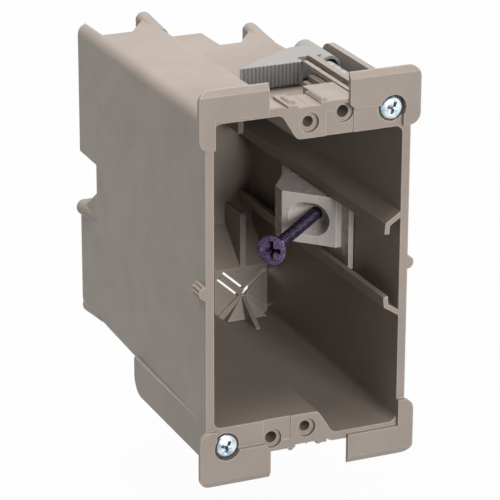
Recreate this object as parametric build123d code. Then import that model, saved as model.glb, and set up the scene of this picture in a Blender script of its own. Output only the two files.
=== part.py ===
from build123d import *
import math
import os

os.makedirs("parts", exist_ok=True)

# Frame: X across, Y into the wall, Z up; the origin is the middle of the box's front face,
# which is also the plane of the wall's surface that the ears lie on.

# Box shell
half_width = 28.3  # outside, at the front face
wall = 2.3
depth = 94.0
draft = 0.017  # each side leans in by this much for each mm of depth
tall_inside = 44.4  # ceiling over the tall part, measured from the middle
short_inside = 37.6  # ceiling over the short part
step_tall_x = 7.6  # end of the tall ceiling, where the slanted step starts
step_short_x = 3.4  # start of the short ceiling
inside_radius = 2.0
outside_radius = 3.0
over = 1.0  # how far a cutting tool runs past the face that it opens

# Front frame between the ears
device_block = (-5.9, 4.5)  # X limits of the block with the middle hole
device_block_depth = 9.5
side_block_x = 12.9  # far side of the block with the outer hole
side_block_depth = 14.0
side_block_drop = 0.3
front_plate = 4.0
device_hole_z = 41.67  # half of the spacing of the device screws
device_hole_radius = 1.45
side_hole = (9.6, 43.15)
side_hole_radius = 1.6
counterbore_radius = 2.6
counterbore_depth = 1.2
bead_x = 4.2
bead_radius = 0.95
beads = ((-1, (1.4, 6.6)), (1, (0.5, 8.5)))  # side of the middle, limits along Y
middle_channel_half = 3.1
middle_channel_depth = 0.7
middle_ridge = (0.35, 0.4)  # half of its foot, height
side_ridge_radius = 1.75
side_ridge_length = 5.6
flute_radius = 0.5
flute_start = 0.5
flute_angles = (-50, -12, 28)
ear_arm_inset = 0.35  # how much narrower the arm beside a plain ear is

# Ears that overlap the wall board
ear_half_width = 30.4
ear_top = 53.65
ear_thickness = 1.28
ear_foot = 38.0
ear_radius = 3.0
arm_width = 4.4
plain_ear_end = 11.5
plain_ear_low = 45.4
screw_ear_end = 10.65
screw_ear_low = 43.95
screw_ear_slant = (1.55, 1.35)
ear_bevel_height = 1.7
ear_bevel_depth = 1.0

# Clamp screw and its seat
clamp_x = 22.73
clamp_z = 42.87
clamp_screw_radius = 1.75
clamp_head_radius = 3.25
clamp_head_height = 2.3
clamp_screw_tip = 54.0
head_recess_radius = 3.6
head_recess_floor = 1.2
running_clearance = 0.07
seat_gap = 0.05
cross_width = 0.95
cross_span = 3.6
cross_depth = 1.5
cross_turn = 20
head_rounding = 0.8  # share of the head's height
seat_sink = 0.2  # how far the shank runs into the head
tip_chamfer = 0.5

# Clamp pocket: outer wall and two fins behind the front plate
pocket_top = 46.6
pocket_wall = (26.5, 28.3)
pocket_wall_foot = 36.5
pocket_wall_end = 50.2
inner_fin = (17.2, 19.1)
inner_fin_end = 38.6
outer_fin = (13.7, 14.9)
outer_fin_end = 34.0
fin_window_start = 15.0
fin_window_top = 45.3
fin_window_floor = 41.0

# Clamp wing
barrel_radius = 3.3
barrel = (36.5, 53.0)
barrel_mouth_radius = 2.5
barrel_mouth_depth = 3.0
wing_tip_x = -3.6
wing_face_y = 35.0
wing_low = 2.87  # below the screw's axis
wing_high = 3.13  # above it
fin_gap = 0.6
rib_pitch = 1.1
rib_depth = 0.55
wing_back = ((21.0, 48.8), (16.0, 48.2), (5.8, 42.3))
step_gap = 0.9

# Rails on the right wall and the slider that runs between them
rail_root = 13.6
rail_bend = (3.6, 11.2)  # distance from the wall, height
rail_lip = (3.8, 8.6)
rail_thickness = 1.35
rail_end = 90.0
slider_gap = 0.3
slider_plate = (26.0, 61.0)
slider_plate_thickness = 1.4
slider_plate_half = 10.5
slider_reach = 14.0  # how far the block stands off the wall, at its nose
slider_front = 30.4  # where its slanted face meets the lips
slider_nose = 4.3
slider_back = 61.0
slider_low = 7.0  # below the screw's axis
slider_high = 7.0  # above it
slot_half = 3.2
slot = (35.0, 71.5)

# Mounting screw through the slider
screw_z = 1.4
screw_angle = 43.0  # of its axis, from the X axis towards the back
screw_radius = 1.75
screw_length = 38.0
screw_stand = 26.0  # head's face in front of the slider's slanted face
screw_head_radius = 4.1
screw_head_rim = 0.6
screw_head_cone = 3.2
screw_point = 5.5
screw_tip_radius = 0.15
screw_cross = (4.4, 1.1, 2.0)  # span, width, depth
screw_cross_turn = 40
face_middle = 7.8  # from the lips to the screw, along the slider's slanted face
funnel_half = (5.9, 4.6)  # across and high
funnel_depth = 5.2
funnel_throat = (2.4, 0.6)  # how much wider and higher than the screw its inner end is
bore_reach = 60

# Cable entries at the back, each closed by a wall with a star of slits
entry_wall = 1.3
finger_wall = 1.2
entry_front = 80.6
notch_slope = (6.3, 9.0)  # across and along the corner that stays
tall_entry = (-17.0, 14.8, 13.3)  # middle, width, depth from the ceiling
short_entry = (16.3, 12.6, 12.6)
side_entry = (1.25, 14.5, 12.6)
entry_bead_radius = 2.25
entry_bead_rise = 1.6
entry_bead_overhang = 1.2
bead_cut = 0.2  # how far the notch cuts into the bead's side
roof_rise = 10.0  # how far the entry's roof slopes on towards the back
spine_thickness = 1.6
spine_end = 12.0  # height where the spines stop, from the middle
bar_width = 1.9
bar_height = 0.7
bar_start = 1.2
slit_width = 0.6
wide_slit_width = 1.5
flap_reach = 3.4  # how far the lowest finger stands in front of the wall, at its root
flap_margin = 1.3
gusset_reach = 11.4
gusset_thickness = 1.3


def block(x, y, z):
    # Box between two limits along each axis
    size = (x[1] - x[0], y[1] - y[0], z[1] - z[0])
    return Pos(x[0], y[0], z[0]) * Box(*size, align=(Align.MIN, Align.MIN, Align.MIN))


def rod(x, z, y, radius):
    # Cylinder along Y between two limits
    standing = Cylinder(radius, y[1] - y[0], align=(Align.CENTER, Align.CENTER, Align.MIN))
    return Pos(x, y[0], z) * Rot(-90, 0, 0) * standing


def outline(points):
    return make_face(Polyline(*points, close=True).edges())


def across(points, y):
    # Outline in X and Z, between two limits along Y
    return extrude(Plane.XZ.offset(-y[0]) * outline(points), amount=-(y[1] - y[0]))


def along(points, x):
    # Outline in Y and Z, between two limits along X
    return extrude(Plane.YZ.offset(x[0]) * outline(points), amount=x[1] - x[0])


def upright(points, z):
    # Outline in X and Y, between two limits along Z
    return extrude(Plane.XY.offset(z[0]) * outline(points), amount=z[1] - z[0])


def half_turn(shape):
    # The box looks the same after half a turn about the Y axis
    return Rot(0, 180, 0) * shape


def grown(points, distance):
    # Outline with its corners counterclockwise, each edge moved outward by a distance
    corners = [Vector(*point) for point in points]
    moved = []
    for i, corner in enumerate(corners):
        before = (corner - corners[i - 1]).normalized()
        after = (corners[(i + 1) % len(corners)] - corner).normalized()
        normals = Vector(before.Y, -before.X) + Vector(after.Y, -after.X)
        mitre = corner + normals * (distance / (1 + before.dot(after)))
        moved.append((mitre.X, mitre.Y))
    return moved


def tapered(points, radius, y):
    # Solid with rounded corners whose sides lean in by the draft
    ends = []
    for place in y:
        face = outline(grown(points, -draft * place))
        ends.append(Plane.XZ.offset(-place) * fillet(face.vertices(), radius))
    return loft(ends, ruled=True)


def band(points, width):
    # Open line with a width, its corners mitred
    line = [Vector(*point) for point in points]
    sides = ([], [])
    for i, point in enumerate(line):
        before = (point - line[max(i - 1, 0)]) if i else (line[1] - line[0])
        after = (line[i + 1] - point) if i < len(line) - 1 else before
        before = before.normalized()
        after = after.normalized()
        normals = Vector(-before.Y, before.X) + Vector(-after.Y, after.X)
        shift = normals * (width / 2 / (1 + before.dot(after)))
        sides[0].append(point + shift)
        sides[1].append(point - shift)
    return [(p.X, p.Y) for p in sides[0] + sides[1][::-1]]


half_inside = half_width - wall
inside_outline = [
    (half_inside, short_inside),
    (-step_short_x, short_inside),
    (-step_tall_x, tall_inside),
    (-half_inside, tall_inside),
    (-half_inside, -short_inside),
    (step_short_x, -short_inside),
    (step_tall_x, -tall_inside),
    (half_inside, -tall_inside),
]
outside_outline = grown(inside_outline, wall)
frame_top = tall_inside + wall
short_top = short_inside + wall
draft_angle = math.degrees(math.atan(draft))


def against_right_wall(shape):
    # Turn a shape made along Y so that it follows the right wall's draft
    return Pos(half_inside, 0, 0) * Rot(0, 0, draft_angle) * shape


# Cable entry, made at the top wall with its middle at X = 0 and Z = 0 at the wall's inside
def entry_arm(angle, middle, reach, offset, width, y):
    arm = block(reach, y, (offset - width / 2, offset + width / 2))
    return Pos(0, 0, middle) * Rot(0, -angle, 0) * arm


def entry_star(width, drop):
    # Bars and slits that run from the middle of the wall to its four corners
    middle = -drop / 2
    end = math.hypot(width, drop) / 2 - 0.5
    front = (entry_front - bar_height, entry_front + 0.1)
    through = (entry_front - over, entry_front + finger_wall + over)
    beside = (bar_width + slit_width) / 2
    bars = []
    slits = []
    for side, up, gaps in ((1, -1, (-1, 1)), (1, 1, (1,)), (-1, 1, (-1,)), (-1, -1, ())):
        angle = math.degrees(math.atan2(up * drop, side * width))
        for gap in gaps:
            slits.append(entry_arm(angle, middle, (bar_start, end), gap * beside, slit_width, through))
        if gaps:
            bars.append(entry_arm(angle, middle, (0, end), 0, bar_width, front))
        else:
            slits.append(entry_arm(angle, middle, (0, end - 0.6), 0, wide_slit_width, through))
            round_end = Pos(end - 0.9, 0, 0) * rod(0, 0, through, 0.65 * wide_slit_width)
            slits.append(Pos(0, 0, middle) * Rot(0, -angle, 0) * round_end)
    return bars, slits


def cable_entry(width, drop, spine):
    half = width / 2
    back = depth + over
    run = (depth - entry_front) / depth * over + roof_rise
    shell_side = [
        (entry_front, 0),
        (entry_front, -drop - entry_wall),
        (depth - wall, -drop - entry_wall - roof_rise),
        (depth, -drop - entry_wall - roof_rise),
        (depth, 0),
    ]
    housing = along(shell_side, (-half - entry_wall, half + entry_wall))
    hollow_front = entry_front + finger_wall
    hollow_side = [(hollow_front, 0), (hollow_front, -drop), (back, -drop - run), (back, 0)]
    hollow = along(hollow_side, (-half, half))
    notch_points = [
        (-half, entry_front),
        (half - notch_slope[0], entry_front),
        (half, entry_front + notch_slope[1]),
        (half, back),
        (-half, back),
    ]
    notch = upright(notch_points, (-wall, wall + outside_radius))
    bars, slits = entry_star(width, drop)
    middle = -drop / 2
    flap_face = [(-half + flap_margin, 0), (half - flap_margin, 0), (0, middle)]
    flap_side = [(entry_front - flap_reach, 0.1), (entry_front, middle), (entry_front + 0.1, 0.1)]
    flap = across(flap_face, (entry_front - flap_reach, entry_front + 0.1)) & along(flap_side, (-half, half))
    gusset_side = [(entry_front - gusset_reach, 0.1), (entry_front, middle), (entry_front + 0.1, 0.1)]
    gusset = along(gusset_side, (-gusset_thickness / 2, gusset_thickness / 2))
    solid = housing + flap + gusset
    for bar in bars:
        solid += bar
    if spine:
        spine_x = (-spine_thickness / 2, spine_thickness / 2)
        solid += block(spine_x, (entry_front, depth - 0.1), (-spine, -drop - entry_wall))
    bead_x = half + entry_bead_radius - bead_cut
    bead_start = Vector(bead_x, entry_front, wall - entry_bead_radius)
    bead_end = Vector(bead_x, depth + entry_bead_overhang, wall - entry_bead_radius + entry_bead_rise)
    bead_line = bead_end - bead_start
    bead = Cylinder(entry_bead_radius, bead_line.length, align=(Align.CENTER, Align.CENTER, Align.MIN))
    bead = fillet(bead.edges().filter_by(GeomType.CIRCLE).sort_by(Axis.Z)[-1], 0.9 * entry_bead_radius)
    bead = Plane(bead_start, z_dir=bead_line) * bead
    return solid + bead, [hollow, notch] + slits


entry_lean = draft * (entry_front + depth) / 2


def entry_places():
    tall_z = tall_inside - entry_lean
    short_z = short_inside - entry_lean
    tall = Pos(tall_entry[0], 0, tall_z)
    short = Pos(short_entry[0], 0, short_z)
    side = Pos(-half_inside + entry_lean, 0, side_entry[0]) * Rot(0, -90, 0)
    turn = Rot(0, 180, 0)
    return [
        (tall, tall_entry, tall_z - spine_end, False),
        (short, short_entry, short_z - spine_end, False),
        (turn * tall, tall_entry, tall_z - spine_end, False),
        (turn * short, short_entry, short_z - spine_end, False),
        (side, side_entry, 0, True),
    ]


def make_ears():
    plain = [
        (-ear_half_width, ear_top),
        (-ear_half_width, ear_foot),
        (-ear_half_width + arm_width, ear_foot),
        (-ear_half_width + arm_width, plain_ear_low),
        (-plain_ear_end, plain_ear_low),
        (-plain_ear_end, ear_top),
    ]
    screwed = [
        (ear_half_width, ear_top),
        (screw_ear_end, ear_top),
        (screw_ear_end, screw_ear_low + screw_ear_slant[1]),
        (screw_ear_end + screw_ear_slant[0], screw_ear_low),
        (ear_half_width - arm_width - ear_arm_inset, screw_ear_low),
        (ear_half_width - arm_width - ear_arm_inset, ear_foot),
        (ear_half_width, ear_foot),
    ]
    ears = []
    for points, side in ((plain, -1), (screwed, 1)):
        face = outline(points)
        round_corners = [
            corner
            for corner in face.vertices()
            if abs(corner.X) > ear_half_width - 0.01
        ]
        face = fillet(round_corners, ear_radius)
        ear = extrude(Plane.XZ * face, amount=ear_thickness)
        bevel = [
            (-ear_thickness, ear_top),
            (-ear_thickness, ear_top - ear_bevel_height),
            (-ear_thickness + ear_bevel_depth, ear_top),
        ]
        ear -= along(bevel, (-ear_half_width, ear_half_width))
        ears.append(ear)
    return ears[0] + ears[1]


def make_front_frame():
    inner = short_inside
    parts = block(device_block, (0, device_block_depth), (inner, frame_top))
    parts += block((device_block[1], side_block_x), (0, side_block_depth), (inner, frame_top))
    parts += block((side_block_x, half_width), (0, front_plate), (inner, frame_top))
    for side, limits in beads:
        parts += rod(side * bead_x, frame_top, limits, bead_radius)
    return parts


def cut_front_frame():
    deep = side_block_depth + over
    cuts = [rod(0, device_hole_z, (-over, deep), device_hole_radius)]
    cuts.append(rod(0, device_hole_z, (-over, counterbore_depth), counterbore_radius))
    cuts.append(rod(side_hole[0], side_hole[1], (-over, deep), side_hole_radius))
    cuts.append(rod(side_hole[0], side_hole[1], (-over, counterbore_depth), counterbore_radius))
    pad = (device_block[1], screw_ear_end + screw_ear_slant[0])
    cuts.append(block(pad, (-over, side_block_drop), (short_inside - over, screw_ear_low)))
    floor = frame_top - middle_channel_depth
    channel = [
        (-middle_channel_half, frame_top + over),
        (-middle_channel_half, floor),
        (-middle_ridge[0], floor),
        (0, floor + middle_ridge[1]),
        (middle_ridge[0], floor),
        (middle_channel_half, floor),
        (middle_channel_half, frame_top + over),
    ]
    cuts.append(across(channel, (-over, deep)))
    cuts.append(rod(clamp_x, clamp_z, (-ear_thickness - over, head_recess_floor), head_recess_radius))
    hole = clamp_screw_radius + running_clearance
    cuts.append(rod(clamp_x, clamp_z, (0, front_plate + over), hole))
    return cuts


def make_clamp_pocket():
    foot = short_inside
    rise = (pocket_top - pocket_wall_foot) / 2
    wall_points = block(pocket_wall, (0, pocket_wall_end), (pocket_wall_foot, pocket_top))
    end_edges = wall_points.edges().filter_by(Axis.X).group_by(Axis.Y)[-1]
    wall_points = fillet(end_edges.sort_by(Axis.Z)[-1], rise)
    inner = block(inner_fin, (0, inner_fin_end), (foot, pocket_top))
    outer = block(outer_fin, (0, outer_fin_end), (foot, pocket_top))
    window = block(
        (outer_fin[0] - over, inner_fin[1] + over),
        (fin_window_start, inner_fin_end + over),
        (fin_window_floor, fin_window_top),
    )
    return wall_points + (inner + outer - window)


def make_side_ridge():
    ridge = rod(half_width, 0, (0, side_ridge_length), side_ridge_radius)
    for angle in flute_angles:
        turn = math.radians(angle)
        x = half_width + side_ridge_radius * math.cos(turn)
        z = side_ridge_radius * math.sin(turn)
        ridge -= rod(x, z, (flute_start, side_ridge_length + over), flute_radius)
    return ridge


def make_rail(side):
    line = [(over, side * (rail_root + 0.6)), (-rail_bend[0], side * rail_bend[1])]
    line.append((-rail_lip[0], side * rail_lip[1]))
    rail = across(band(line, rail_thickness), (0, rail_end))
    return against_right_wall(rail)


def make_box():
    shell = tapered(outside_outline, outside_radius, (0, depth))
    room = tapered(inside_outline, inside_radius, (-over, depth - wall))
    added = make_front_frame() + make_clamp_pocket() + make_ears() + make_side_ridge()
    body = shell + added + half_turn(added)
    body -= room
    cuts = []
    for place, (middle, width, drop), spine, mirrored in entry_places():
        solid, tools = cable_entry(width, drop, spine)
        if mirrored:
            solid = mirror(solid, Plane.YZ)
            tools = [mirror(tool, Plane.YZ) for tool in tools]
        body += place * solid
        cuts += [place * tool for tool in tools]
    for side in (-1, 1):
        body += make_rail(side) & tapered(grown(inside_outline, 0.5 * wall), inside_radius, (0, depth))
    for tool in cut_front_frame():
        cuts += [tool, half_turn(tool)]
    screw_slot = block((-over, wall + over), slot, (screw_z - slot_half, screw_z + slot_half))
    cuts.append(against_right_wall(screw_slot))
    for cut in cuts:
        body -= cut
    return body


def make_clamp_screw():
    seat = head_recess_floor - seat_gap
    shank = rod(clamp_x, clamp_z, (seat - seat_sink, clamp_screw_tip), clamp_screw_radius)
    tip = chamfer(shank.edges().sort_by(Axis.Y)[-1], tip_chamfer)
    head = rod(clamp_x, clamp_z, (seat - clamp_head_height, seat), clamp_head_radius)
    head = fillet(head.edges().sort_by(Axis.Y)[0], clamp_head_height * head_rounding)
    screw = tip + head
    front = seat - clamp_head_height
    for turn in (0, 90):
        arm = block((-cross_span / 2, cross_span / 2), (-over, cross_depth), (-cross_width / 2, cross_width / 2))
        screw -= Pos(clamp_x, front, clamp_z) * Rot(0, turn + cross_turn, 0) * arm
    return screw


def make_wing():
    arm_front = wing_face_y
    notch_x = outer_fin[1] - 0.5
    notch_y = inner_fin_end + fin_gap
    face = []
    x = wing_tip_x
    while x + rib_pitch < notch_x:
        face += [(x, arm_front + rib_depth), (x + rib_pitch / 2, arm_front)]
        x += rib_pitch
    face += [(notch_x, arm_front + rib_depth), (notch_x, notch_y), (clamp_x, notch_y)]
    points = face + [(clamp_x, wing_back[0][1])] + list(wing_back)
    arm = upright(points, (clamp_z - wing_low, clamp_z + wing_high))
    slant = (step_tall_x - step_short_x) / (tall_inside - short_inside)
    foot_x = outside_outline[1][0] - draft * wing_face_y + step_gap
    low = clamp_z - wing_low
    rise = wing_low + wing_high
    under = [
        (foot_x - 2 * rise, low - over),
        (foot_x + slant * over, low - over),
        (foot_x - slant * rise, low + rise),
        (foot_x - 2 * rise, low + rise),
    ]
    arm -= across(under, (arm_front - over, barrel[1]))
    wing = arm + rod(clamp_x, clamp_z, barrel, barrel_radius)
    mouth = (barrel[0] - over, barrel[0] + barrel_mouth_depth)
    wing -= rod(clamp_x, clamp_z, mouth, barrel_mouth_radius)
    bore = clamp_screw_radius + running_clearance
    wing -= rod(clamp_x, clamp_z, (barrel[0] - over, barrel[1] + over), bore)
    return wing


def screw_axis():
    # Plane whose Z axis runs along the mounting screw, at the slider's slanted face
    turn = math.radians(screw_angle)
    direction = Vector(math.cos(turn), math.sin(turn), 0)
    lip = Vector(half_inside - rail_lip[0], slider_front, 0)
    face = Vector(-direction.Y, direction.X, 0)
    middle = lip + face * face_middle
    return Plane((middle.X, middle.Y, screw_z), x_dir=face, z_dir=direction)


def make_slider():
    axis = screw_axis()
    face = axis.x_dir
    lip_x = half_inside - rail_lip[0]
    nose_x = half_inside - slider_reach - 0.5
    nose_y = slider_front + (lip_x - nose_x) / -face.X * face.Y
    inner_x = half_inside - draft * slider_back - slider_gap - slider_plate_thickness / 2
    front_x = half_inside - draft * slider_front - slider_gap - slider_plate_thickness / 2
    points = [
        (front_x, slider_front),
        (lip_x, slider_front),
        (nose_x, nose_y),
        (nose_x, nose_y + slider_nose),
        (lip_x, slider_back),
        (inner_x, slider_back),
    ]
    wedge = upright(points, (screw_z - slider_low, screw_z + slider_high))
    plate = against_right_wall(
        block(
            (-slider_gap - slider_plate_thickness, -slider_gap),
            slider_plate,
            (-slider_plate_half, slider_plate_half),
        )
    )
    slider = wedge + plate
    mouth = SlotOverall(2 * funnel_half[0], 2 * funnel_half[1])
    narrow = SlotOverall(2 * screw_radius + funnel_throat[0], 2 * screw_radius + funnel_throat[1])
    slider -= loft([axis.offset(-over) * mouth, axis * mouth])
    slider -= loft([axis * mouth, axis.offset(funnel_depth) * narrow])
    bore = screw_radius + running_clearance
    hole = Cylinder(bore, bore_reach, align=(Align.CENTER, Align.CENTER, Align.MIN))
    slider -= axis * hole
    return slider


def make_mounting_screw():
    profile = [
        (0, 0),
        (screw_head_radius, 0),
        (screw_head_radius, screw_head_rim),
        (screw_radius, screw_head_rim + screw_head_cone),
        (screw_radius, screw_length - screw_point),
        (screw_tip_radius, screw_length),
        (0, screw_length),
    ]
    screw = revolve(Plane.XZ * outline(profile), Axis.Z)
    for turn in (0, 90):
        arm = Box(screw_cross[0], screw_cross[1], 2 * screw_cross[2])
        screw -= Rot(0, 0, turn + screw_cross_turn) * arm
    return screw_axis().offset(-screw_stand) * screw


def write(shape, name):
    shape.label = name
    export_step(shape, f"parts/{name}.step")


write(make_box(), "box_body")
clamp_screw = make_clamp_screw()
clamp_wing = make_wing()
write(clamp_screw, "upper_clamp_screw")
write(half_turn(clamp_screw), "lower_clamp_screw")
write(clamp_wing, "upper_clamp_wing")
write(half_turn(clamp_wing), "lower_clamp_wing")
write(make_slider(), "slider_block")
write(make_mounting_screw(), "mounting_screw")
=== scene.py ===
import bpy
import bmesh
import math
from mathutils import Matrix, Vector


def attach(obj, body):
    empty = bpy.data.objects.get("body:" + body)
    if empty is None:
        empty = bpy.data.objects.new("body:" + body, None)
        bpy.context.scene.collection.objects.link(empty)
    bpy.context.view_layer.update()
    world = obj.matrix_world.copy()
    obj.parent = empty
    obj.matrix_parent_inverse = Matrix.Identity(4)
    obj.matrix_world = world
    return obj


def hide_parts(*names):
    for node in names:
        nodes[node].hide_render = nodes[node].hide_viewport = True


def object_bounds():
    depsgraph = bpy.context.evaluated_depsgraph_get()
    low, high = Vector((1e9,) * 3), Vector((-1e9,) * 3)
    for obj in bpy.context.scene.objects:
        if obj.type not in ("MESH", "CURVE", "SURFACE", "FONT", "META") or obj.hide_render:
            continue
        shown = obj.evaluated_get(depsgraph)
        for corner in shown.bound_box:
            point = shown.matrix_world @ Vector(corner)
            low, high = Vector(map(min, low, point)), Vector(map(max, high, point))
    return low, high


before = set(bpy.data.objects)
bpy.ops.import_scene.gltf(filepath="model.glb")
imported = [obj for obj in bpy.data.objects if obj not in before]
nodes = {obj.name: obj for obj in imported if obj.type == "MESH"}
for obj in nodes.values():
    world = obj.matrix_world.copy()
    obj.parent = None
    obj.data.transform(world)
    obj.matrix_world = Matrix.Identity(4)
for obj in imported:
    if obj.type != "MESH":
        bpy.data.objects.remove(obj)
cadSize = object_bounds()
scene = bpy.context.scene
mm = 0.001
print("packed box loaded:", sorted(nodes))


# Camera, at the photograph's angle: in front of the box, to its left and above it
cameraView = {
    "yaw": 23.72,  # degrees to the left
    "pitch": 20.80,  # degrees above
    "roll": 0.19,
    "distance": 725.7 * mm,
    "focalPixels": 2847.6,
    "imagePixels": 500,
    "originPixel": (308.0, 278.2),  # where the middle of the front opening falls
    "sensorWidth": 36,
    "clip": (0.05, 20),
}


def addCamera(view):
    yaw, pitch, roll = (math.radians(view[key]) for key in ("yaw", "pitch", "roll"))
    forward = Vector((
        math.sin(yaw) * math.cos(pitch),
        math.cos(yaw) * math.cos(pitch),
        -math.sin(pitch),
    ))
    level = Vector((math.cos(yaw), -math.sin(yaw), 0))
    upward = level.cross(forward)
    right = math.cos(roll) * level + math.sin(roll) * upward
    up = -math.sin(roll) * level + math.cos(roll) * upward
    half = view["imagePixels"] / 2
    across = (view["originPixel"][0] - half) * view["distance"] / view["focalPixels"]
    down = (view["originPixel"][1] - half) * view["distance"] / view["focalPixels"]
    place = -across * right + down * up - view["distance"] * forward
    data = bpy.data.cameras.new("photoCamera")
    data.sensor_width = view["sensorWidth"]
    data.lens = view["focalPixels"] / view["imagePixels"] * data.sensor_width
    data.clip_start, data.clip_end = view["clip"]
    camera = bpy.data.objects.new("photoCamera", data)
    turn = Matrix((right, up, -forward)).transposed().to_4x4()
    camera.matrix_world = Matrix.Translation(place) @ turn
    scene.collection.objects.link(camera)
    scene.camera = camera


addCamera(cameraView)
print("camera placed")


# Small helpers for node materials. Each of the later ones gives back the socket to link on
def newMaterial(name):
    material = bpy.data.materials.new(name)
    material.use_nodes = True
    tree = material.node_tree
    shader = tree.nodes["Principled BSDF"]
    return material, tree, shader


def addNode(tree, kind, **values):
    node = tree.nodes.new(kind)
    for key, value in values.items():
        if key in node.inputs:
            node.inputs[key].default_value = value
        else:
            setattr(node, key, value)
    return node


def addRamp(tree, factor, places, colours):
    ramp = tree.nodes.new("ShaderNodeValToRGB")
    elements = ramp.color_ramp.elements
    while len(elements) < len(places):
        elements.new(0.5)
    for element, place, colour in zip(elements, places, colours):
        element.position = place
        element.color = (*colour, 1)
    tree.links.new(factor, ramp.inputs["Fac"])
    return ramp.outputs["Color"]


def addNoise(tree, place, noise):
    # noise: how many waves to a metre, how many finer layers, and how strong those are
    scale, detail, roughness = noise
    node = addNode(
        tree, "ShaderNodeTexNoise", Scale=scale, Detail=detail, Roughness=roughness
    )
    tree.links.new(place, node.inputs["Vector"])
    return node.outputs["Fac"]


def addRange(tree, value, before, after):
    # Stretches the range before onto the range after, and stays inside it
    node = addNode(tree, "ShaderNodeMapRange")
    for name, number in zip(("From Min", "From Max", "To Min", "To Max"), (*before, *after)):
        node.inputs[name].default_value = number
    tree.links.new(value, node.inputs["Value"])
    return node.outputs["Result"]


def addMath(tree, operation, first, second):
    # second is a plain number or another socket
    node = addNode(tree, "ShaderNodeMath", operation=operation)
    tree.links.new(first, node.inputs[0])
    if isinstance(second, (int, float)):
        node.inputs[1].default_value = second
    else:
        tree.links.new(second, node.inputs[1])
    return node.outputs[0]


def addBump(tree, height, strength, distance, normal=None):
    node = addNode(tree, "ShaderNodeBump", Strength=strength, Distance=distance)
    tree.links.new(height, node.inputs["Height"])
    if normal is not None:
        tree.links.new(normal, node.inputs["Normal"])
    return node.outputs["Normal"]


def shade(colour, amount):
    return tuple(min(1, part * amount) for part in colour)


# Moulded plastics: faint mottling, a fine grain, softened edges with a painted highlight along
# them, and painted shade between the wing's ribs
plastics = {
    "boxPlastic": {
        "colour": (0.226, 0.188, 0.160),
        "mottle": 0.06,
        "roughness": (0.36, 0.44),
        "grain": 0.05,
        "flow": 0.04,
        "edge": 0.35 * mm,
        # how strongly the edges get a painted highlight
        "paintedEdgeHighlight": 0.5,
        "sheen": 0.38,
    },
    "wingPlastic": {
        "colour": (0.222, 0.213, 0.204),
        "mottle": 0.05,
        "roughness": (0.40, 0.52),
        "grain": 0.08,
        "flow": 0.02,
        "edge": 0.3 * mm,
        "paintedEdgeHighlight": 0.0,
        "paintedShadeReach": 1.2 * mm,  # painted shade in the gaps between the ribs, reaching this far
        # how dark that painted shade gets
        "paintedCreaseShade": 0.25,
        "sheen": 0.3,
    },
    "sliderPlastic": {
        "colour": (0.44, 0.398, 0.372),
        "mottle": 0.04,
        "roughness": (0.22, 0.32),
        "grain": 0.03,
        "flow": 0.02,
        "edge": 0.25 * mm,
        "paintedEdgeHighlight": 0.5,
        "sheen": 0.6,
    },
}

# What all three share
mouldedSurface = {
    "cloud": (55.0, 4.0, 0.55),  # mottling of the colour
    "cloudStops": (0.32, 0.68),
    "smear": (160.0, 3.0, 0.6),  # glossier and duller patches
    "smearStops": (0.3, 0.7),
    "drag": (420.0, 2.0, 0.5),  # flow marks, drawn out along the depth
    "dragStretch": (1, 0.12, 1),
    "dragDepth": 0.6 * mm,
    "grain": (2600.0, 2.0, 0.5),
    "grainDepth": 0.3 * mm,
    "edgeSamples": 4,
    "paintedHighlightWidth": 1.6,  # the painted highlight line along an edge, against the edge's own rounding
    "paintedHighlightRange": (0.995, 0.85),
    # how light the painted edge highlight is
    "paintedHighlightTone": 1.7,
    # the painted shade in the wings' narrow gaps
    "paintedShadeSamples": 6,
    "paintedShadeRange": (0.35, 0.9),
}


def softNormal(tree, radius):
    # The normal that the face would have if its edges were rounded
    node = addNode(tree, "ShaderNodeBevel", samples=mouldedSurface["edgeSamples"])
    node.inputs["Radius"].default_value = radius
    return node.outputs["Normal"]


def edgeHighlightMask(tree, radius):
    # 0 on flat faces and towards 1 where the rounded normal turns away from the true one; it
    # places the painted edge highlight
    plain = addNode(tree, "ShaderNodeNewGeometry")
    dot = addNode(tree, "ShaderNodeVectorMath", operation="DOT_PRODUCT")
    tree.links.new(softNormal(tree, radius), dot.inputs[0])
    tree.links.new(plain.outputs["Normal"], dot.inputs[1])
    return addRange(tree, dot.outputs["Value"], mouldedSurface["paintedHighlightRange"], (0, 1))


def paintedCreaseShadeMask(tree, look):
    # Painted shade: 1 in the open, down to the look's darkest value in narrow gaps
    gaps = addNode(
        tree, "ShaderNodeAmbientOcclusion", samples=mouldedSurface["paintedShadeSamples"],
        only_local=True,
    )
    gaps.inputs["Distance"].default_value = look["paintedShadeReach"]
    shades = (look["paintedCreaseShade"], 1)
    return addRange(tree, gaps.outputs["AO"], mouldedSurface["paintedShadeRange"], shades)


def plasticColour(tree, place, look):
    # Mottled, with a painted highlight along the edges and, on the wings, painted shade
    # between the ribs
    link = tree.links.new
    cloud = addNoise(tree, place, mouldedSurface["cloud"])
    low = shade(look["colour"], 1 - look["mottle"])
    high = shade(look["colour"], 1 + look["mottle"])
    mottled = addRamp(tree, cloud, mouldedSurface["cloudStops"], (low, high))
    paintedHighlight = edgeHighlightMask(tree, look["edge"] * mouldedSurface["paintedHighlightWidth"])
    # the painted edge highlight, screened over the mottled colour
    lighter = addNode(tree, "ShaderNodeMix", data_type="RGBA", blend_type="SCREEN")
    pale = shade(look["colour"], mouldedSurface["paintedHighlightTone"])
    lighter.inputs["B"].default_value = (*pale, 1)
    link(addMath(tree, "MULTIPLY", paintedHighlight, look["paintedEdgeHighlight"]), lighter.inputs["Factor"])
    link(mottled, lighter.inputs["A"])
    if "paintedShadeReach" not in look:
        return lighter.outputs["Result"]
    # painted shade between the wing's ribs
    ribShadedColour = addNode(tree, "ShaderNodeVectorMath", operation="SCALE")
    link(lighter.outputs["Result"], ribShadedColour.inputs[0])
    link(paintedCreaseShadeMask(tree, look), ribShadedColour.inputs["Scale"])
    return ribShadedColour.outputs["Vector"]


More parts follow.
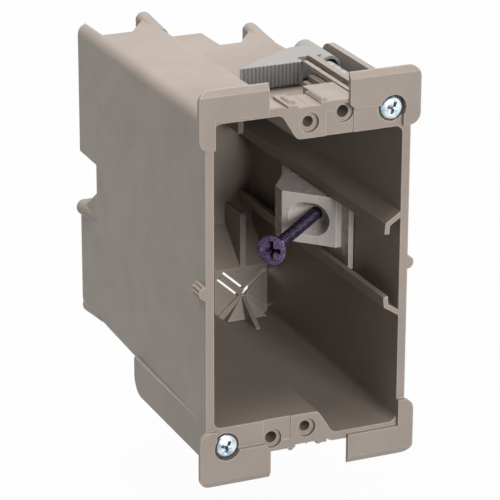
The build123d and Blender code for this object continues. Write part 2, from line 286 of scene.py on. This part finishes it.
def plasticNormal(tree, place, look):
    # Rounded edges, with the flow marks on them and the grain over both
    stretch = addNode(tree, "ShaderNodeMapping")
    stretch.inputs["Scale"].default_value = mouldedSurface["dragStretch"]
    tree.links.new(place, stretch.inputs["Vector"])
    drag = addNoise(tree, stretch.outputs["Vector"], mouldedSurface["drag"])
    grain = addNoise(tree, place, mouldedSurface["grain"])
    soft = softNormal(tree, look["edge"])
    flowed = addBump(tree, drag, look["flow"], mouldedSurface["dragDepth"], soft)
    return addBump(tree, grain, look["grain"], mouldedSurface["grainDepth"], flowed)


def mouldedPlastic(name, look):
    material, tree, shader = newMaterial(name)
    link = tree.links.new
    place = addNode(tree, "ShaderNodeTexCoord").outputs["Object"]
    smear = addNoise(tree, place, mouldedSurface["smear"])
    rough = addRange(tree, smear, mouldedSurface["smearStops"], look["roughness"])
    link(plasticColour(tree, place, look), shader.inputs["Base Color"])
    link(rough, shader.inputs["Roughness"])
    link(plasticNormal(tree, place, look), shader.inputs["Normal"])
    shader.inputs["Specular IOR Level"].default_value = look["sheen"]
    return material


finishes = {name: mouldedPlastic(name, look) for name, look in plastics.items()}
print("plastics made")


# The screws' metals. shades holds one value each for a thread's root, its crest and the head:
# painted shade for the grooves and the cross, and the crest's tone against the head's
metals = {
    "zincPlate": {  # bright, with a bluish passivation
        "colours": ((0.33, 0.46, 0.57), (0.86, 0.90, 0.92)),
        "stops": (0.35, 0.62),
        "specks": (380.0, 3.0, 0.6),
        "roughness": (0.16, 0.30),
        "shades": (0.3, 1.0, 1.0),
        "gloss": 0.5,
        "pits": (2200.0, 2.0, 0.5),
        "pitStrength": 0.12,
        "pitDepth": 0.1 * mm,
        "metallic": 1.0,
    },
    "purpleCoat": {  # dark and satin, with fine lighter specks where it is thin
        "colours": ((0.038, 0.024, 0.058), (0.19, 0.137, 0.26)),
        "stops": (0.38, 0.66),
        "specks": (1500.0, 4.0, 0.65),
        "roughness": (0.34, 0.52),
        "shades": (0.0, 0.42, 1.0),
        "gloss": 0.5,
        "pits": (1500.0, 4.0, 0.65),
        "pitStrength": 0.2,
        "pitDepth": 0.1 * mm,
        "metallic": 0.4,
    },
}

# The screws' meshes carry "ridge", which says what part of the screw a point is on
ridgeValues = {
    "root": 0,  # the bottom of the thread, and of the cross
    "crest": 0.5,
    "head": 1,
}


def paintedScrewShade(tree, shader, colour, look):
    # Painted shade: takes colour and gloss away in the thread's grooves and in the cross, and
    # sets the crests' tone against the head's
    ridge = addNode(tree, "ShaderNodeAttribute", attribute_name="ridge")
    greys = [(value, value, value) for value in look["shades"]]
    depth = addRamp(tree, ridge.outputs["Fac"], list(ridgeValues.values()), greys)
    scaled = addNode(tree, "ShaderNodeVectorMath", operation="MULTIPLY")
    tree.links.new(colour, scaled.inputs[0])
    tree.links.new(depth, scaled.inputs[1])
    tree.links.new(scaled.outputs["Vector"], shader.inputs["Base Color"])
    gloss = addMath(tree, "MULTIPLY", depth, look["gloss"])
    tree.links.new(gloss, shader.inputs["Specular IOR Level"])


def platedMetal(name, look):
    material, tree, shader = newMaterial(name)
    link = tree.links.new
    place = addNode(tree, "ShaderNodeTexCoord").outputs["Object"]
    specks = addNoise(tree, place, look["specks"])
    paintedScrewShade(tree, shader, addRamp(tree, specks, look["stops"], look["colours"]), look)
    link(addRange(tree, specks, (0, 1), look["roughness"]), shader.inputs["Roughness"])
    pits = addNoise(tree, place, look["pits"])
    link(addBump(tree, pits, look["pitStrength"], look["pitDepth"]), shader.inputs["Normal"])
    shader.inputs["Metallic"].default_value = look["metallic"]
    return material


finishes.update({name: platedMetal(name, look) for name, look in metals.items()})
print("metals made")


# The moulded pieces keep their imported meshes
plasticOf = {
    "box_body": "boxPlastic",
    "upper_clamp_wing": "wingPlastic",
    "lower_clamp_wing": "wingPlastic",
    "slider_block": "sliderPlastic",
}


def setFinish(obj, name):
    obj.data.materials.clear()
    obj.data.materials.append(finishes[name])


for node, plastic in plasticOf.items():
    setFinish(nodes[node], plastic)
print("mouldings finished")


# Screws: a turned head with a cut cross, and a real helical thread
clampScrew = {
    "x": 22.73 * mm,
    "z": 42.87 * mm,
    "headUnder": 1.15 * mm,  # where the head's underside sits along Y
    "headHeight": 2.3 * mm,
    "headRadius": 3.25 * mm,
    "crownFlat": 0.42,  # part of the radius before the crown starts to fall
    "crownRise": 0.62,  # part of the height that the crown takes
    "rimEnd": 0.93,
    "underside": 0.97,
    "stub": 0.8 * mm,  # joins the head to the thread, out of sight
    "threadGap": 0.3 * mm,
    "radius": 1.75 * mm,
    "root": 1.32 * mm,
    "pitch": 0.79 * mm,
    "tip": 54.0 * mm,  # where the screw ends along Y
    "point": 1.2 * mm,
    "crossSpan": 3.9 * mm,
    "crossWidth": 0.95 * mm,
    "crossDepth": 1.6 * mm,
    "crossTurn": 20,
}

studScrew = {
    "faceCentre": (-2.135 * mm, 18.373 * mm, 1.4 * mm),
    "angle": 43.0,  # degrees from X towards Y
    "headRadius": 4.03 * mm,
    "headEdge": ((0.93, 0), (0.985, 0.1 * mm), (1, 0.3 * mm)),  # part of radius, height
    "headRim": 0.6 * mm,
    "headCone": 3.2 * mm,
    "coneTop": 0.97,  # part of the head's radius
    "coneFoot": 0.86,  # part of the shank's radius
    "coneCurve": 1.35,
    "stubFoot": 0.84,
    "stub": 0.3 * mm,
    "neck": 4.6 * mm,
    "threadLap": 0.4 * mm,
    "radius": 1.75 * mm,
    "root": 1.2 * mm,
    "pitch": 1.35 * mm,
    "length": 38.0 * mm,
    "point": 5.5 * mm,
    "crossSpan": 5.2 * mm,
    "crossWidth": 1.35 * mm,
    "crossDepth": 2.6 * mm,
    "crossTurn": 0,
}

# The cross's cutter against a screw's crossSpan, crossWidth and crossDepth
crossShape = {
    "mouthSpan": 1.2,
    "footSpan": 0.35,
    "footWidth": 0.6,
    "over": 0.6 * mm,  # how far it stands out of the head
    # part of the cross's depth below which its walls take the painted shade
    "shadeFrom": 0.3,
}

threadShape = {
    "flank": 3.0,  # steepness of the thread's V
    "tipRadius": 0.12,  # part of the radius at the very end of the point
    "tipCurve": 0.8,
}

# How finely the screws are cut
screwDetail = {
    "headSteps": 64,
    "curveSteps": 8,
    "threadSteps": 40,
    "rowsPerTurn": 10,
    "sharpAngle": 38,
}


def addRing(mesh, radii, height):
    # One point for each radius, spread evenly round Z
    ring = []
    for step, radius in enumerate(radii):
        angle = 2 * math.pi * step / len(radii)
        point = (radius * math.cos(angle), radius * math.sin(angle), height)
        ring.append(mesh.verts.new(point))
    return ring


def joinRings(mesh, rings):
    # Four-sided faces between rings, and triangles where a ring is a single point
    for lower, upper in zip(rings, rings[1:]):
        steps = max(len(lower), len(upper))
        for step in range(steps):
            after = (step + 1) % steps
            corners = []
            for ring, place in ((lower, step), (lower, after), (upper, after), (upper, step)):
                corner = ring[place % len(ring)]
                if corner not in corners:
                    corners.append(corner)
            mesh.faces.new(corners)


def turnedMesh(profile):
    # profile: (radius, height) pairs from the centre of one end to the centre of the other
    mesh = bmesh.new()
    rings = []
    for radius, height in profile:
        steps = screwDetail["headSteps"] if radius > 0 else 1
        rings.append(addRing(mesh, [radius] * steps, height))
    joinRings(mesh, rings)
    bmesh.ops.recalc_face_normals(mesh, faces=mesh.faces)
    return mesh


def threadRadius(height, turn, start, end, look):
    # Follows the V as it winds round, runs in over the first turn and narrows at the point
    phase = (height / look["pitch"] - turn) % 1
    crest = max(0, 1 - abs(phase - 0.5) * threadShape["flank"])
    runIn = min(1, (height - start) / look["pitch"])
    radius = look["root"] + (look["radius"] - look["root"]) * crest * runIn
    if height > end - look["point"]:
        left = max(0, (end - height) / look["point"])
        tip = threadShape["tipRadius"]
        radius *= tip + (1 - tip) * left ** threadShape["tipCurve"]
    return radius


def threadMesh(start, end, look):
    mesh = bmesh.new()
    rows = int((end - start) / look["pitch"] * screwDetail["rowsPerTurn"])
    steps = screwDetail["threadSteps"]
    rings = []
    for row in range(rows + 1):
        height = start + (end - start) * row / rows
        radii = [threadRadius(height, step / steps, start, end, look) for step in range(steps)]
        rings.append(addRing(mesh, radii, height))
    joinRings(mesh, rings)
    mesh.faces.new(list(reversed(rings[0])))
    mesh.faces.new(rings[-1])
    bmesh.ops.recalc_face_normals(mesh, faces=mesh.faces)
    return mesh


def crossCutter(look):
    # Two crossed bars that narrow downwards, as the driver's tip has them
    mesh = bmesh.new()
    span = look["crossSpan"] / 2
    width = look["crossWidth"] / 2
    mouth = (span * crossShape["mouthSpan"], width, -crossShape["over"])
    foot = (
        span * crossShape["footSpan"], width * crossShape["footWidth"], look["crossDepth"]
    )
    sides = [(place, (place + 1) % 4, (place + 1) % 4 + 4, place + 4) for place in range(4)]
    for turn in (0, 90):
        rise = Matrix.Rotation(math.radians(turn + look["crossTurn"]), 4, "Z")
        corners = []
        for reach, half, height in (mouth, foot):
            for x, y in ((-reach, -half), (reach, -half), (reach, half), (-reach, half)):
                corners.append(mesh.verts.new(rise @ Vector((x, y, height))))
        for loop in ((3, 2, 1, 0), (4, 5, 6, 7), *sides):
            mesh.faces.new([corners[place] for place in loop])
    bmesh.ops.recalc_face_normals(mesh, faces=mesh.faces)
    return mesh


def toObject(mesh, name):
    data = bpy.data.meshes.new(name)
    mesh.to_mesh(data)
    mesh.free()
    obj = bpy.data.objects.new(name, data)
    scene.collection.objects.link(obj)
    return obj


def cutCross(head, look):
    cutter = toObject(crossCutter(look), head.name + "Cutter")
    cut = head.modifiers.new("cross", "BOOLEAN")
    cut.operation = "DIFFERENCE"
    cut.solver = "EXACT"
    cut.use_self = True  # the two bars overlap
    cut.object = cutter
    bpy.context.view_layer.update()
    result = head.evaluated_get(bpy.context.evaluated_depsgraph_get())
    carved = bpy.data.meshes.new_from_object(result)
    head.modifiers.clear()
    head.data = carved
    bpy.data.objects.remove(cutter)


def writeRidge(data, look, neck):
    # Marks where the painted shade goes: the thread's grooves, the crests and the deep part of
    # the cross
    ridge = data.attributes.new("ridge", "FLOAT", "POINT")
    crossStart = crossShape["shadeFrom"] * look["crossDepth"]
    for vertex, value in zip(data.vertices, ridge.data):
        out = math.hypot(vertex.co.x, vertex.co.y)
        if vertex.co.z > neck:
            part = (out - look["root"]) / (look["radius"] - look["root"])
            value.value = ridgeValues["crest"] * max(0, min(1, part))
        elif out < look["root"] and vertex.co.z > crossStart:
            value.value = ridgeValues["root"]
        else:
            value.value = ridgeValues["head"]


def makeScrew(name, look, headProfile, threadStart, threadEnd, place, metal):
    # Made with the head's top at 0 and the shank along Z, then moved to its place
    screw = toObject(turnedMesh(headProfile), name)
    cutCross(screw, look)
    thread = toObject(threadMesh(threadStart, threadEnd, look), name + "Thread")
    whole = bmesh.new()
    whole.from_mesh(screw.data)
    whole.from_mesh(thread.data)
    whole.to_mesh(screw.data)
    whole.free()
    bpy.data.objects.remove(thread)
    writeRidge(screw.data, look, threadStart + look["pitch"])
    screw.data.transform(place)
    setFinish(screw, metal)
    for face in screw.data.polygons:
        face.use_smooth = True
    screw.data.set_sharp_from_angle(angle=math.radians(screwDetail["sharpAngle"]))
    return screw


def panHead(look):
    high = look["headHeight"]
    wide = look["headRadius"]
    profile = [(0, 0)]
    for step in range(1, screwDetail["curveSteps"] + 1):
        angle = math.radians(90 * step / screwDetail["curveSteps"])
        out = look["crownFlat"] + (1 - look["crownFlat"]) * math.sin(angle)
        profile.append((wide * out, high * look["crownRise"] * (1 - math.cos(angle))))
    profile.append((wide, high * look["rimEnd"]))
    profile.append((wide * look["underside"], high))
    profile.append((look["root"], high))
    profile.append((look["root"], high + look["stub"]))
    profile.append((0, high + look["stub"]))
    return profile


def flatHead(look):
    wide = look["headRadius"]
    rim = look["headRim"]
    shank = look["radius"]
    end = look["neck"] + look["stub"]
    foot = shank * look["coneFoot"]
    profile = [(0, 0)]
    profile += [(wide * part, height) for part, height in look["headEdge"]]
    profile.append((wide, rim))
    for step in range(1, screwDetail["curveSteps"] + 1):
        part = step / screwDetail["curveSteps"]
        fall = (1 - part) ** look["coneCurve"]
        radius = foot + (wide * look["coneTop"] - foot) * fall
        profile.append((radius, rim + look["headCone"] * part))
    profile += [(shank * look["stubFoot"], end), (0, end)]
    return profile


def addClampScrews(look):
    top = look["headUnder"] - look["headHeight"]
    start = look["headHeight"] + look["threadGap"]
    end = look["tip"] - top
    inward = Matrix.Rotation(math.radians(-90), 4, "X")
    stand = Matrix.Translation((look["x"], top, look["z"])) @ inward
    halfTurn = Matrix.Rotation(math.radians(180), 4, "Y")
    for side, place in (("upper", stand), ("lower", halfTurn @ stand)):
        name = side + "ClampScrew"
        screw = makeScrew(name, look, panHead(look), start, end, place, "zincPlate")
        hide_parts(side + "_clamp_screw")
        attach(screw, side + "_screw")


def addStudScrew(look):
    angle = math.radians(look["angle"])
    direction = Vector((math.cos(angle), math.sin(angle), 0))
    side = Vector((-direction.y, direction.x, 0))
    turn = Matrix((side, direction.cross(side), direction)).transposed().to_4x4()
    place = Matrix.Translation(look["faceCentre"]) @ turn
    start = look["neck"] - look["threadLap"]
    end = look["length"]
    screw = makeScrew("studScrew", look, flatHead(look), start, end, place, "purpleCoat")
    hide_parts("mounting_screw")
    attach(screw, "stud_screw")


addClampScrews(clampScrew)
addStudScrew(studScrew)
print("screws made")


# Studio: a pale floor that the camera sees as nearly white, and large soft lamps
studio = {
    "floorDrop": 28 * mm,  # room for the lower wing when it is swung out
    "floorSize": 6.0,
    "floorShade": 0.28,
    "floorRoughness": 0.8,
    "floorWhite": 0.97,  # the rest keeps the shadow
    "world": 0.09,
    "worldTint": (1.0, 0.94, 0.87),
    "white": (1, 1, 1, 1),
    "whiteStrength": 1.0,
    "lampAim": (0, 0.04, 0),
}

studioLamps = {
    "keyLamp": {
        "place": (0.10, -1.36, 0.42), "size": 0.65, "watts": 24.5, "tint": (0.97, 0.985, 1.0)
    },
    "fillLamp": {
        "place": (-1.35, -0.75, 0.45), "size": 1.0, "watts": 0.3, "tint": (1.0, 0.93, 0.85)
    },
    "topLamp": {
        "place": (-0.15, 0.35, 1.6), "size": 1.5, "watts": 54.0, "tint": (1.0, 0.99, 0.98)
    },
}


def seenRays(tree):
    # 1 for the rays that show the background: to the camera, in a mirror or through glass
    path = addNode(tree, "ShaderNodeLightPath").outputs
    mirrored = addMath(tree, "MAXIMUM", path["Is Camera Ray"], path["Is Glossy Ray"])
    return addMath(tree, "MAXIMUM", mirrored, path["Is Transmission Ray"])


def showWhite(tree, plain, whiteKind, amount, output):
    # Mixes white over the plain shader, by amount, and sends the two to the output
    white = addNode(tree, whiteKind)
    white.inputs["Color"].default_value = studio["white"]
    white.inputs["Strength"].default_value = studio["whiteStrength"]
    mix = addNode(tree, "ShaderNodeMixShader")
    tree.links.new(amount, mix.inputs["Fac"])
    tree.links.new(plain.outputs[0], mix.inputs[1])
    tree.links.new(white.outputs[0], mix.inputs[2])
    tree.links.new(mix.outputs[0], tree.nodes[output].inputs["Surface"])


def makeWorld(look):
    world = bpy.data.worlds.new("studioWorld")
    world.use_nodes = True
    scene.world = world
    tree = world.node_tree
    background = tree.nodes["Background"]
    background.inputs["Color"].default_value = (*look["worldTint"], 1)
    background.inputs["Strength"].default_value = look["world"]
    showWhite(tree, background, "ShaderNodeBackground", seenRays(tree), "World Output")


def makeFloor(look, lowest):
    height = lowest - look["floorDrop"]
    bpy.ops.mesh.primitive_plane_add(size=look["floorSize"], location=(0, 0, height))
    floor = bpy.context.object
    floor.name = "paleFloor"
    material, tree, shader = newMaterial("paleFloor")
    tone = look["floorShade"]
    shader.inputs["Base Color"].default_value = (tone, tone, tone, 1)
    shader.inputs["Roughness"].default_value = look["floorRoughness"]
    amount = addMath(tree, "MULTIPLY", seenRays(tree), look["floorWhite"])
    showWhite(tree, shader, "ShaderNodeEmission", amount, "Material Output")
    floor.data.materials.append(material)


def addLamp(name, look, aim):
    data = bpy.data.lights.new(name, "AREA")
    data.shape = "DISK"
    data.size = look["size"]
    data.energy = look["watts"]
    data.color = look["tint"]
    lamp = bpy.data.objects.new(name, data)
    lamp.location = look["place"]
    towards = Vector(aim) - Vector(look["place"])
    lamp.rotation_euler = towards.to_track_quat("-Z", "Y").to_euler()
    scene.collection.objects.link(lamp)


makeWorld(studio)
makeFloor(studio, min(corner[2] for corner in cadSize))
for lampName, lampLook in studioLamps.items():
    addLamp(lampName, lampLook, studio["lampAim"])
scene.view_settings.view_transform = "Standard"
print("studio lit")
